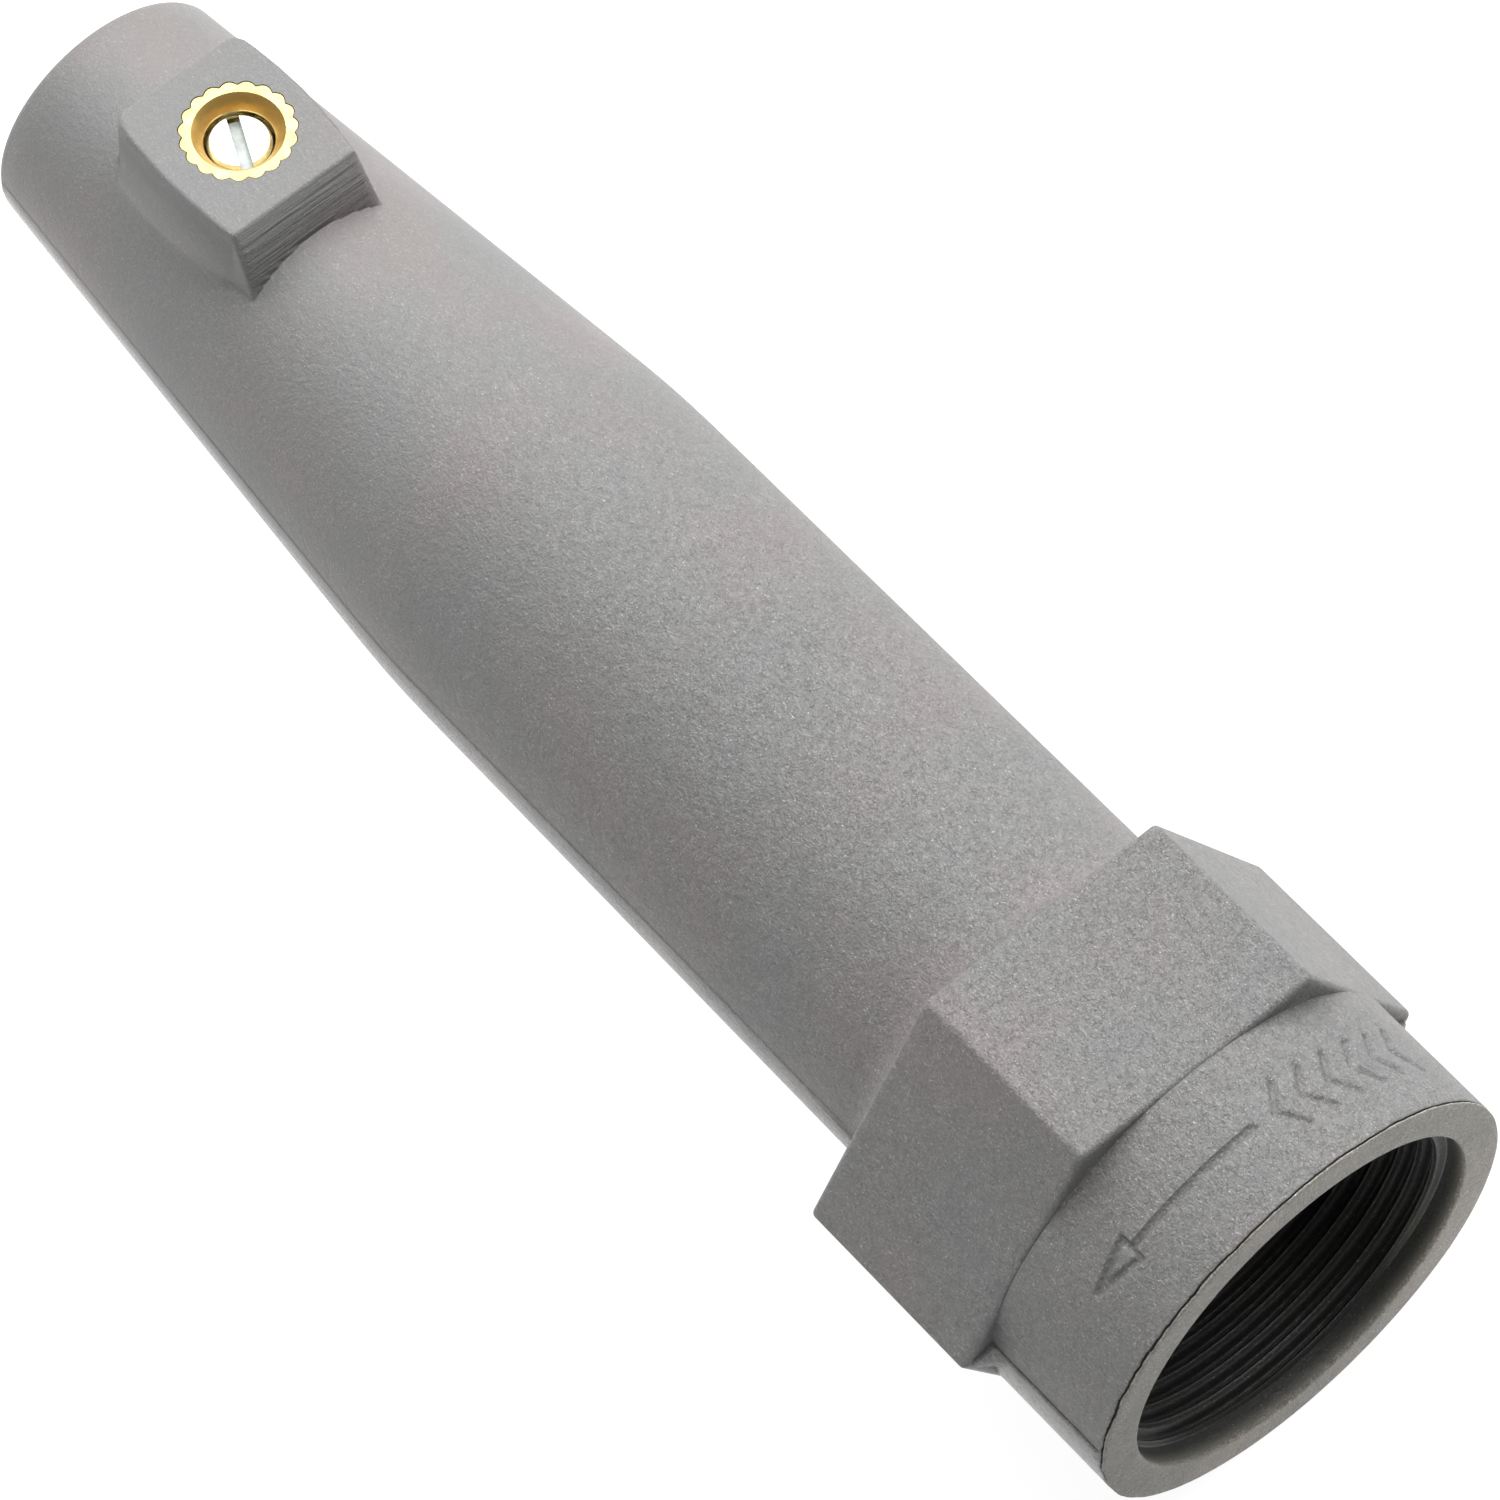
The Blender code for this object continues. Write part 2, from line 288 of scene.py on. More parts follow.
PARTING_TURNS = (90.0, 270.0)
PARTING_HALF_WIDTH = 0.62
PARTING_RISE = 0.18
WEB_LENGTH = 1.7
WEB_HALF_WIDTH = 0.42
FOOT_WEB_LENGTH = 7.5
FOOT_WEB_HEIGHT = 0.35
WALL_SLOPE = 2.3
BACK_SLOPE = 6.5
WINDOW_HALF = 4.98
WINDOW_TURN = round(math.degrees(math.atan2(WINDOW_HALF, BOSS_HEIGHT)), 3)
SKIN, BORE, RIM, CREVICE = range(4)


def row(station, radius, tone=1.0, slot=SKIN, ribs=0.0):
    """A row of a grid; each value is one number, or one for each turn."""
    return station, radius, tone, slot, ribs


def engraved_strokes():
    """Centre lines of the arrow and of the row of chevrons, as (arc, station) pairs."""
    neck = (ARROW_NECK, ARROW_STATION)
    left = (ARROW_NECK + 0.25, ARROW_STATION - ARROW_HALF_WIDTH)
    right = (ARROW_NECK + 0.25, ARROW_STATION + ARROW_HALF_WIDTH)
    tip = (ARROW_TIP, ARROW_STATION)
    strokes = [((ARROW_START, ARROW_STATION), neck), (left, tip), (right, tip), (left, right)]
    for index in range(CHEVRON_COUNT):
        back = CHEVRON_FIRST - CHEVRON_PITCH * index
        point = (back + CHEVRON_LENGTH, CHEVRON_STATION)
        for side in (-1, 1):
            strokes.append(((back, CHEVRON_STATION + side * CHEVRON_HALF_HEIGHT), point))
    return strokes


def engraving(station, turn):
    """Depth of the engraved arrow and chevrons in the collar."""
    arc = np.radians(off_turn(turn)) * COLLAR_RADIUS
    nearest = np.full_like(arc, 99.0)
    for (arc_a, station_a), (arc_b, station_b) in engraved_strokes():
        along = np.array([arc_b - arc_a, station_b - station_a])
        share = ((arc - arc_a) * along[0] + (station - station_a) * along[1]) / (along @ along)
        share = np.clip(share, 0.0, 1.0)
        gap = np.hypot(arc - arc_a - share * along[0], station - station_a - share * along[1])
        nearest = np.minimum(nearest, gap)
    edge = MARK_STROKE + MARK_SOFTNESS
    return MARK_DEPTH * (1.0 - smooth_step(nearest, MARK_STROKE - MARK_SOFTNESS, edge))


def parting_ridge(station, turn, radius):
    """Shares of the low land along the mould's parting line and of the groove beside it."""
    land, groove = 0.0, 0.0
    for centre in PARTING_TURNS:
        across = np.abs(np.radians(off_turn(turn, centre)) * radius)
        jitter = 0.04 * wavy(turn * 0.0 + station * 37.0, station, 1.3)
        edge = PARTING_HALF_WIDTH + jitter
        land = land + 1.0 - smooth_step(across, edge - 0.05, edge + 0.05)
        groove = groove + smooth_step(across, edge - 0.02, edge + 0.06)
        groove = groove - smooth_step(across, edge + 0.08, edge + 0.3)
    return land, groove


def glossiness(turn):
    """Share of the smoother skin low on each side, where the mould was polished."""
    low = smooth_step(np.abs(off_turn(turn, 112.0)), 24.0, 18.0)
    return low + smooth_step(np.abs(off_turn(turn, 248.0)), 24.0, 18.0)


def parting_light_and_shade(station, turn, radius, strength=1.0):
    """Tone of painted light on the parting land and on a band below it, and of painted shade in
    the groove beside the land.
    """
    land, groove = parting_ridge(station, turn, radius)
    low = 180.0 - np.abs(off_turn(turn, 180.0))
    band = smooth_step(low, 90.0, 90.5) * (1.0 - smooth_step(low, 104.0, 124.0))
    # Painted light on the land and on the band below the parting line, painted shade in the groove
    # above it.
    light = np.maximum(0.55 * land, 0.50 * band)
    return 1.0 + strength * (light - 0.45 * groove * (low < 90.0))


def web(station, turn, foot, length):
    """Height share of the small mould web that runs down from a hexagon corner."""
    share = 0.0
    for centre in PARTING_TURNS:
        across = np.abs(np.radians(off_turn(turn, centre)) * HEX_CORNER)
        share = share + 1.0 - smooth_step(across, WEB_HALF_WIDTH - 0.08, WEB_HALF_WIDTH + 0.08)
    fall = np.clip(1.0 - np.abs(station - foot) / length, 0.0, 1.0)
    return share * fall ** 1.5


def foot_web(station, turn):
    """Height of the web that runs from the hexagon's back corner onto the tube."""
    return FOOT_WEB_HEIGHT * web(station, turn, HEX_END, FOOT_WEB_LENGTH)


def underside(turn):
    """How far the collar draws in underneath, so that it lies on the ground."""
    return (COLLAR_RADIUS - HEX_APOTHEM) * smooth_step(np.abs(off_turn(turn)), 125.0, 160.0)


def collar_radius(station, turn):
    """Radius of the collar with its marks, parting land and corner webs."""
    radius = COLLAR_RADIUS - underside(turn) - engraving(station, turn)
    fade = smooth_step(station, 0.3, 0.6)
    land, groove = parting_ridge(station, turn, COLLAR_RADIUS)
    radius = radius + PARTING_RISE * (land - 0.5 * groove) * fade
    return radius + (HEX_CORNER - COLLAR_RADIUS - 0.5) * web(station, turn, HEX_START, WEB_LENGTH)


def hexagon_radius(turn, inset):
    """Radius of the hexagon with rounded corners, drawn in by `inset`."""
    from_flat = np.abs((off_turn(turn) + 30.0) % 60.0 - 30.0)
    near_side = (HEX_APOTHEM - inset) / np.cos(np.radians(from_flat))
    next_side = (HEX_APOTHEM - inset) / np.cos(np.radians(60.0 - from_flat))
    return soft_min(near_side, next_side, 0.22) + 0.02


def tube_radius(station):
    """Radius of the plain tapered tube; the kink between the two tapers is soft."""
    gentle = (TUBE_RADIUS_AT_HEX - TUBE_RADIUS_AT_KINK) / (KINK_STATION - HEX_END)
    steep = (TUBE_RADIUS_AT_KINK - TIP_RADIUS) / (LENGTH - KINK_STATION)
    first = TUBE_RADIUS_AT_KINK + gentle * (KINK_STATION - station)
    second = TUBE_RADIUS_AT_KINK + steep * (KINK_STATION - station)
    return soft_min(first, second, 0.35)


def boss_top(station):
    """Height of the boss above the axis along its length, walls included."""
    ahead = BOSS_FRONT - station
    wall = BOSS_HEIGHT - WALL_SLOPE * ahead
    ripple = 0.05 * np.sin(ahead * 15.0) * smooth_step(ahead, 0.05, 0.25)
    ripple = ripple * (1.0 - smooth_step(ahead, 1.2, 1.7))
    height = soft_min(BOSS_HEIGHT, wall, 0.35) + ripple
    end_wall = BOSS_HEIGHT - BACK_SLOPE * (station - BOSS_BACK - 0.02)
    return soft_min(height, end_wall, 0.55)


def boss_half_width(station, side):
    """Half width of the boss's top on one side; both sides bulge a little."""
    along = np.clip((station - BOSS_CENTRE) / BOSS_HALF_LENGTH, -1.6, 1.6)
    bulge = BOSS_BARREL * np.clip(1.0 - along * along, 0.0, 1.0)
    return BOSS_HALF_WIDTH + BOSS_SIDE_SHIFT * side + bulge


def boss_radius(station, turn):
    """Radius of the boss at a turn near the top, or zero away from it."""
    angle = np.radians(off_turn(turn))
    inside = np.abs(angle) < math.radians(75.0)
    lean = np.where(inside, np.abs(angle), 0.5)
    top = boss_top(station) / np.cos(lean)
    half_width = boss_half_width(station, np.sign(angle))
    past = np.clip(station - (BOSS_BACK - BOSS_PLAN_ROUND), 0.0, BOSS_PLAN_ROUND)
    half_width = half_width - BOSS_PLAN_ROUND + np.sqrt(BOSS_PLAN_ROUND ** 2 - past ** 2 + 1e-9)
    reach = half_width + BOSS_SIDE_DRAFT * BOSS_HEIGHT
    side = reach / (np.sin(lean) + BOSS_SIDE_DRAFT * np.cos(lean))
    return np.where(inside, soft_min(top, side, 0.7), 0.0)


def sleeve_radius(station, turn):
    """Radius of the tube with its boss and parting land."""
    tube = tube_radius(station) * np.ones_like(turn)
    land, groove = parting_ridge(station, turn, tube)
    tube = tube + 0.05 * (land - 0.5 * groove)
    with_boss = np.maximum(boss_radius(station, turn), 1.0)
    near = np.abs(off_turn(turn)) < 75.0
    flank = smooth_step(np.abs(off_turn(turn)), 18.0, 30.0)
    width = 1.9 * flank * smooth_step(station, BOSS_FRONT - 1.2, BOSS_FRONT + 2.0)
    width = 0.22 + width * (1.0 - 0.85 * smooth_step(station, BOSS_BACK - 3.0, BOSS_BACK))
    return np.where(near, soft_max(tube, with_boss, width), tube)


def boss_light_and_shade(station, turn):
    """Tone and rib strength on the boss: painted highlight on the back edge, painted shade in the
    creases and along the side edges, painted light on the walls, ribbed wall.
    """
    radius = boss_radius(station, turn)
    across = radius * np.sin(np.radians(off_turn(turn)))
    ahead = BOSS_FRONT - station
    tube = tube_radius(station)
    stands = smooth_step(radius - tube, -0.05, 0.25)
    reach = boss_half_width(station, np.sign(across))
    on_top = stands * (1.0 - smooth_step(np.abs(across), reach - 0.5, reach + 0.1))
    # Painted highlight along the back edge of the boss's top.
    tone = 1.0 + 0.24 * on_top * np.exp(-((station - BOSS_BACK - 0.05) / 0.16) ** 2)
    # Painted light on the mouth-side wall, light at the top and darker towards its foot.
    wall = on_top * smooth_step(ahead, 0.05, 0.3)
    drop = smooth_step(ahead, 0.3, 2.4)
    tone = tone * (1.0 + wall * (0.30 - 0.50 * drop))
    # Painted shade in the crease where the boss meets the tube.
    crease = np.exp(-((radius - tube - 0.02) / 0.10) ** 2) * (ahead > -0.2)
    tone = tone * (1.0 - 0.22 * crease)
    # Painted shade along the top's side edges and painted light on the side wall towards -Y.
    brink = np.exp(-((np.abs(across) - reach - 0.10) / 0.13) ** 2) * stands
    flank = stands * smooth_step(across, reach + 0.1, reach + 0.5)
    tone = tone * (1.0 + 0.24 * flank)
    tone = tone * (1.0 - 0.22 * brink * (np.abs(station - BOSS_CENTRE) < BOSS_HALF_LENGTH))
    return tone, wall * (1.0 - 0.6 * drop)


def outer_turns():
    """Turns of the outer grid, crowded at the marks, the corners and the parting line."""
    turns = list(np.arange(-57.0, 56.01, 0.62))
    turns += list(np.arange(57.0, 126.0, 1.0)) + list(np.arange(126.0, 303.0, 3.0))
    for corner in (90.0, 150.0, 210.0, 270.0):
        turns += [corner + step for step in (-2.2, -1.2, -0.7, -0.35, 0.0, 0.35, 0.7, 1.2, 2.2)]
    beside = (1.7, 1.82, 1.94, 2.06, 2.2, 2.45, 2.9)
    for side in (-1, 1):
        for centre in PARTING_TURNS:
            turns += [centre + side * step for step in beside]
        turns.append(side * WINDOW_TURN)
    turns = np.unique(np.round(np.mod(np.array(turns), 360.0), 3))
    kept = [turns[0]]
    for turn in turns[1:]:
        crowded = turn - kept[-1] < 0.09
        if crowded and abs(abs(off_turn(turn)) - WINDOW_TURN) < 0.001:
            kept[-1] = turn
        elif not crowded:
            kept.append(turn)
    return np.array(kept)


def rim_rows(turn):
    """Rows from the counterbore's edge over the rim's face and its ragged outer lip."""
    # Painted reflection: the rim's face is lightened, most towards turn 295.
    rim_face_light = 1.43 + 0.28 * np.cos(np.radians(turn - 295.0))
    # The counterbore's edge gets a painted highlight.
    inner = [(0.34, COUNTERBORE_RADIUS, 1.0), (0.12, COUNTERBORE_RADIUS + 0.04, 1.12)]
    inner += [(0.03, COUNTERBORE_RADIUS + 0.12, 1.2), (0.0, COUNTERBORE_RADIUS + 0.26, 1.06)]
    rows = [row(station, radius, tone * rim_face_light, RIM) for station, radius, tone in inner]
    for share in (0.25, 0.5, 0.75, 0.92):
        radius = COUNTERBORE_RADIUS + 0.3 + (COLLAR_RADIUS - COUNTERBORE_RADIUS - 0.5) * share
        rows.append(row(0.012 * (1 + wavy(turn, radius, 2.0)), radius, rim_face_light, RIM))
    torn = 0.6 + 0.8 * smooth_step(np.abs(off_turn(turn, 80.0)), 70.0, 25.0)
    ragged = (0.05 * wavy(turn * 3.0, 0.0, 4.0) + 0.075 * wavy(turn * 4.0, 0.0, 9.0)) * torn
    lip = 0.22 + ragged
    gap = np.clip(0.06 + 0.05 * wavy(turn * 6.0, 0.0, 7.0), 0.015, 0.2) * torn
    depth = 0.20 + 0.06 * wavy(turn * 7.0, 0.0, 5.0)
    outside = COLLAR_RADIUS - underside(turn)
    torn_edge = [
        (0.04, outside - 0.08 + 0.6 * ragged, rim_face_light, RIM),
        (0.10, outside - 0.01 + 0.6 * ragged, 1.04 * rim_face_light, RIM),
        (lip - 0.04, outside - 0.01 + 0.6 * ragged, 1.04 * rim_face_light, RIM),
        # The crevice rows take the darkened crevice finish, painted shade.
        (lip, outside - 0.06 + 0.6 * ragged, 1.0, CREVICE),
        (lip + 0.02, outside - depth, 1.0, CREVICE),
        (lip + 0.04 + gap, outside - depth, 1.0, CREVICE),
        # Painted shade on the collar just outside the crevice, then a little painted light.
        (lip + 0.09 + gap, outside - 0.05, 0.8),
        (lip + 0.20 + gap, outside + 0.01, 1.08),
    ]
    return rows + [row(*values) for values in torn_edge]


def collar_rows(turn):
    """Rows along the collar, crowded where the marks are."""
    stations = list(np.linspace(0.8, 3.2, 4)) + list(np.arange(3.3, 7.75, 0.16))
    stations += list(np.linspace(8.3, 9.5, 3)) + list(np.linspace(9.7, HEX_START - 0.35, 8))
    rows = []
    for station in stations:
        # Painted shade in the engraved marks, darker the deeper they cut.
        tone = parting_light_and_shade(station, turn, COLLAR_RADIUS) * (1.0 - 0.5 * engraving(station, turn))
        rows.append(row(station, collar_radius(station, turn), tone))
    end = collar_radius(HEX_START - CREASE_LENGTH, turn)
    # The last two collar rows carry the crease's painted shade.
    for offset, rise in ((0.14, 0.0024), (0.04, 0.012)):
        rows.append(row(HEX_START - offset, end + rise, CREASE_SHADE))
    return rows


def hexagon_rows(turn):
    """Rows up the mouth-side face of the hexagon, along its flats and down its back."""
    rows = []
    start = collar_radius(HEX_START - CREASE_LENGTH, turn) + 0.013
    edge = hexagon_radius(turn, HEX_EDGE_ROUND)
    # The first rows of the hexagon carry the crease's painted shade.
    for share in (0.03, 0.5):
        rows.append(row(HEX_START, start + (edge - start) * share, CREASE_SHADE))
    for sine, cosine in quarter(4):
        inset = HEX_EDGE_ROUND * (1 - sine)
        station = HEX_START + HEX_EDGE_ROUND * (1 - cosine)
        rows.append(row(station, hexagon_radius(turn, inset)))
    for station in np.linspace(HEX_START + 1.5, HEX_END - 1.5, 9):
        rows.append(row(station, hexagon_radius(turn, 0.0)))
    for sine, cosine in quarter(4):
        inset = HEX_EDGE_ROUND * (1 - cosine) * 0.7
        station = HEX_END - HEX_EDGE_ROUND * (1 - sine)
        rows.append(row(station, hexagon_radius(turn, inset)))
    foot = TUBE_RADIUS_AT_HEX + FOOT_FILLET
    top = hexagon_radius(turn, HEX_EDGE_ROUND * 0.7)
    rows.append(row(HEX_END + 0.01, top + (foot - 0.12 - top) * 0.5))
    for index, (sine, cosine) in enumerate(quarter(8)):
        station = HEX_END + 0.02 + FOOT_FILLET * (1 - cosine)
        radius = foot - FOOT_FILLET * sine - 0.12 * (1 - index / 8)
        rows.append(row(station, radius + foot_web(station, turn)))
    return rows


def sleeve_rows(turn):
    """Rows along the tube and over the boss."""
    stations = [31.0, 32.0, 33.0, 34.0, 34.6] + list(np.arange(40.0, 76.0, 7.0))
    stations += [78.0, 80.0, 81.0, 82.0, 83.0, 85.0, 90.0, 96.0, 101.0]
    stations += list(np.arange(103.6, BOSS_FRONT + 0.8, 0.15))
    stations += [BOSS_CENTRE - WINDOW_HALF, BOSS_CENTRE - 2.5, BOSS_CENTRE, BOSS_CENTRE + 2.5]
    stations += [BOSS_CENTRE + WINDOW_HALF, BOSS_CENTRE + 6.0]
    stations += list(np.arange(BOSS_BACK - 0.4, BOSS_BACK + 1.4, 0.11))
    stations += [BOSS_BACK + 2.0, BOSS_BACK + 3.0]
    stations += list(np.linspace(BOSS_BACK + 4.5, LENGTH - TIP_ROUND, 4))
    rows = []
    for station in stations:
        radius = sleeve_radius(station, turn)
        if station < 35.0:
            radius = radius + foot_web(station, turn)
        tone, ribs = boss_light_and_shade(station, turn)
        # Painted light and shade along the parting line, weaker on the tube.
        tone = tone * parting_light_and_shade(station, turn, radius, 0.4)
        rows.append(row(station, radius, tone, SKIN, ribs))
    return rows


def tip_rows():
    """Rows over the rounded small end and its face to the socket's edge."""
    rows = []
    for sine, cosine in quarter(6)[1:]:
        rows.append(row(LENGTH - TIP_ROUND * (1 - sine), TIP_RADIUS - TIP_ROUND * (1 - cosine)))
    return rows + [row(LENGTH, SOCKET_RADIUS + 0.7), row(LENGTH, SOCKET_RADIUS + 0.34)]


# Inner surface

THREAD_START_TURN = 146.0
THREAD_START = 2.32
CREST_HALF = 0.26
FLANK_WIDTH = 0.30
CREST_BEAD = 0.035
CREST_TONE = 0.95
# Painted shade in the thread's grooves and painted highlights on its crest edges.
GROOVE_SHADE = 0.55
BEAD_HIGHLIGHT = 1.15
# Painted light on the thread's first step.
STEP_LIGHT = 2.2
THREAD_ROWS_PER_PITCH = 16
SHEAR_CENTRE = 200.0
HOLE_WINDOW = 3.6
HOLE_WINDOW_TURN = 27.0
INNER_TURNS = np.arange(0.0, 360.0, 1.8)


def to_crest(station, turn):
    """Distance along the thread from the groove's middle towards the next crest."""
    offset = station - THREAD_START - THREAD_PITCH * off_turn(turn, THREAD_START_TURN) / 360.0
    from_groove = offset - THREAD_PITCH * np.round(offset / THREAD_PITCH)
    return THREAD_PITCH / 2 - np.abs(from_groove)


def thread_radius(station, turn):
    """Radius of the left-hand thread: the groove gets deeper with the turn."""
    from_crest = to_crest(station, turn)
    fill = np.clip((from_crest - CREST_HALF) / FLANK_WIDTH, 0.0, 1.0)
    bead = 1.0 - np.clip(np.abs(from_crest - CREST_HALF + 0.05) / 0.07, 0.0, 1.0)
    fade = 1.0 - smooth_step(station, THREAD_END - 0.9, THREAD_END)
    return THREAD_CREST_RADIUS + (THREAD_DEPTH * fill - CREST_BEAD * bead) * fade


def thread_light_and_shade(station, turn):
    """Tone over the thread: painted highlights on the crest edges and painted shade in the
    grooves.
    """
    from_crest = to_crest(station, turn)
    fill = smooth_step(from_crest, CREST_HALF, CREST_HALF + 0.5 * FLANK_WIDTH)
    bead = np.exp(-((from_crest - CREST_HALF + 0.06) / 0.075) ** 2)
    return CREST_TONE + (GROOVE_SHADE - CREST_TONE) * fill + BEAD_HIGHLIGHT * bead


def inner_rows(turn):
    """Rows from the counterbore through the thread and the bore to the socket."""
    rows = [row(station, COUNTERBORE_RADIUS) for station in (0.9, 1.5)]
    # Painted light on the thread's first step in two arcs, and painted shade just before the step.
    pale = smooth_step(np.abs(off_turn(turn, 262.0)), 48.0, 18.0)
    pale = 1.0 + STEP_LIGHT * (pale + smooth_step(np.abs(off_turn(turn, 112.0)), 34.0, 12.0))
    rows.append(row(COUNTERBORE_DEPTH - 0.08, COUNTERBORE_RADIUS, 0.8))
    rows.append(row(COUNTERBORE_DEPTH - 0.02, COUNTERBORE_RADIUS - 0.06, pale))
    inside = thread_radius(COUNTERBORE_DEPTH + 0.008, turn)
    for share, tone in ((0.25, 0.75), (0.6, 0.6), (0.85, 1.1)):
        radius = COUNTERBORE_RADIUS - 0.06 + (inside - COUNTERBORE_RADIUS + 0.06) * share
        station = COUNTERBORE_DEPTH - 0.018 + 0.02 * share
        rows.append(row(station, radius, 1.0 + (pale - 1.0) * tone))
    around = off_turn(turn, SHEAR_CENTRE)
    shear = THREAD_PITCH * around / 360.0 * (1.0 - smooth_step(np.abs(around), 135.0, 178.0))
    first = COUNTERBORE_DEPTH - 0.55
    count = int((THREAD_END - first) / THREAD_PITCH * THREAD_ROWS_PER_PITCH)
    for index in range(count):
        station = first + THREAD_PITCH * index / THREAD_ROWS_PER_PITCH + shear
        station = np.maximum(station, COUNTERBORE_DEPTH + 0.008 * (index + 1))
        # The first thread rows fade into the step's painted light.
        edge = 1.0 - smooth_step(station, COUNTERBORE_DEPTH + 0.02, COUNTERBORE_DEPTH + 0.2)
        tone = thread_light_and_shade(station, turn)
        rows.append(row(station, thread_radius(station, turn), tone + (pale - tone) * edge))
    plain = [
        (SHOULDER_STATION - 1.2, THREAD_CREST_RADIUS),
        (SHOULDER_STATION - 1.0, THREAD_CREST_RADIUS - 0.1),
        (SHOULDER_STATION, MAIN_BORE_RADIUS + 0.1),
        (SHOULDER_STATION + 0.2, MAIN_BORE_RADIUS),
        (48.0, 11.85),
        (MAIN_BORE_END - 1, MAIN_BORE_END_RADIUS),
        (MAIN_BORE_END + 1, MAIN_BORE_END_RADIUS - 0.2),
        (SOCKET_STATION - 0.6, SOCKET_RADIUS + 0.1),
    ]
    socket = [SOCKET_STATION + 0.3, 106.0, BOSS_CENTRE - HOLE_WINDOW, BOSS_CENTRE - 1.5]
    socket += [BOSS_CENTRE + 1.5, BOSS_CENTRE + HOLE_WINDOW, 124.0, LENGTH - 0.34]
    plain += [(station, SOCKET_RADIUS) for station in socket]
    # Painted shade: the plain bore and the socket are a little darker.
    return rows + [row(station, radius, 0.9) for station, radius in plain]


def grids(rows, turns):
    """The rows' stations, radii, tones, slots and ribs, each as a grid over the turns."""
    return (np.array([made[column] + 0 * turns for made in rows]) for column in range(5))


def knurl_outline(extra, steps):
    """Lobed outline of the insert, grown by `extra`, as (x, y) round its own axis."""
    turn = np.arange(KNURL_TEETH * steps) / (KNURL_TEETH * steps) * math.tau
    lobe = np.abs(np.cos(turn * KNURL_TEETH / 2))
    radius = INSERT_RADIUS - KNURL_DEPTH + KNURL_DEPTH * lobe + extra
    return radius * np.cos(turn), radius * np.sin(turn)


def window_loop(indices, rows, columns):
    """Indices round a rectangle of a grid, in order."""
    top, bottom = rows
    first = indices[top, columns].tolist()
    last = indices[bottom, columns].tolist()
    left = indices[top + 1:bottom, columns[0]].tolist()
    right = indices[top + 1:bottom, columns[-1]].tolist()
    return first + right + last[::-1] + left[::-1]


def window_columns(turns, limit):
    """Columns of the grid from -limit to +limit turns, in order."""
    offset = off_turn(turns)
    chosen = np.where(np.abs(offset) <= limit + 0.01)[0]
    return chosen[np.argsort(offset[chosen])]


def nearest_row(stations, target):
    """Row whose mean station is nearest to the target."""
    return int(np.argmin(np.abs(stations.mean(axis=1) - target)))


def sleeve_shell(materials):
    """The whole moulding as one closed mesh."""
    sheets = Sheets()
    turns = outer_turns()
    rows = rim_rows(turns) + collar_rows(turns) + hexagon_rows(turns)
    rows += sleeve_rows(turns) + tip_rows()
    stations, radii, tones, slots, ribs = grids(rows, turns)
    gloss = (slots == SKIN) * glossiness(turns)
    outer = sheets.add_points(to_space(stations, turns[None, :], radii), tones, ribs, gloss)
    top = nearest_row(stations, BOSS_CENTRE - WINDOW_HALF)
    bottom = nearest_row(stations, BOSS_CENTRE + WINDOW_HALF)
    columns = window_columns(turns, WINDOW_TURN)
    skip = np.zeros((len(rows) - 1, len(turns)), bool)
    skip[top:bottom, columns[:-1]] = True
    sheets.add_rings(outer, slots[:-1, 0].astype(int), skip)

    rows = inner_rows(INNER_TURNS)
    stations, radii, tones, *_ = grids(rows, INNER_TURNS)
    inner = sheets.add_points(to_space(stations, INNER_TURNS[None, :], radii), tones)
    hole_top = nearest_row(stations, BOSS_CENTRE - HOLE_WINDOW)
    hole_bottom = nearest_row(stations, BOSS_CENTRE + HOLE_WINDOW)
    hole_columns = window_columns(INNER_TURNS, HOLE_WINDOW_TURN)
    skip = np.zeros((len(rows) - 1, len(INNER_TURNS)), bool)
    skip[hole_top:hole_bottom, hole_columns[:-1]] = True
    sheets.add_rings(inner, BORE, skip)
    sheets.stitch(outer[0], turns, inner[0], INNER_TURNS, BORE)
    sheets.stitch(outer[-1], turns, inner[-1], INNER_TURNS, BORE)

    rim_x, rim_y = knurl_outline(POCKET_GAP, POCKET_STEPS)
    turn = np.arctan2(rim_y, rim_x)
    hole_x, hole_y = SCREW_HOLE_RADIUS * np.cos(turn), SCREW_HOLE_RADIUS * np.sin(turn)
    floor_z = BOSS_TOP_Z - INSERT_LENGTH - 0.05
    way_out = AXIS_HEIGHT + np.sqrt(SOCKET_RADIUS ** 2 - hole_y ** 2)
    levels = [(rim_x, rim_y, BOSS_TOP_Z + 0 * rim_x), (rim_x, rim_y, floor_z + 0 * rim_x)]
    levels += [(hole_x, hole_y, floor_z + 0 * rim_x), (hole_x, hole_y, way_out)]
    rings = np.array([np.stack([BOSS_X + x, y, z], axis=-1) for x, y, z in levels]) * MM
    pocket = sheets.add_points(rings)
    sheets.add_rings(pocket, BORE)
    windows = [
        (window_loop(outer, (top, bottom), columns), pocket[0].tolist(), SKIN),
        (window_loop(inner, (hole_top, hole_bottom), hole_columns), pocket[-1].tolist(), BORE),
    ]
    return new_object(sheets.to_bmesh(windows), "sleeve_shell", materials)


# Insert and screw

INSERT_BEVEL = 0.12
INSERT_STEPS = 14
INSERT_WAIST_RADIUS = 3.8
FLAT_RADIUS = 3.43
CONE_DEPTH = 1.18
SCREW_CREST = 2.5
SCREW_ROOT = 2.15
SCREW_PITCH = 0.8
SCREW_FACE = 2.26
SLOT_HALF_WIDTH = 0.475
SLOT_DEPTH = 1.05
SLOT_TURN = -25.0
SLOT_REACH = 2.41
SCREW_STEPS = 96


def turned_rings(levels, turn, centre_x, top):
    """Rings of points round an upright axis, one for each height and radius."""
    rings = []
    for height, radius in levels:
        ring = [centre_x + radius * np.cos(turn), radius * np.sin(turn), top + height + 0 * turn]
        rings.append(np.stack(ring, axis=-1))
    return np.array(rings)


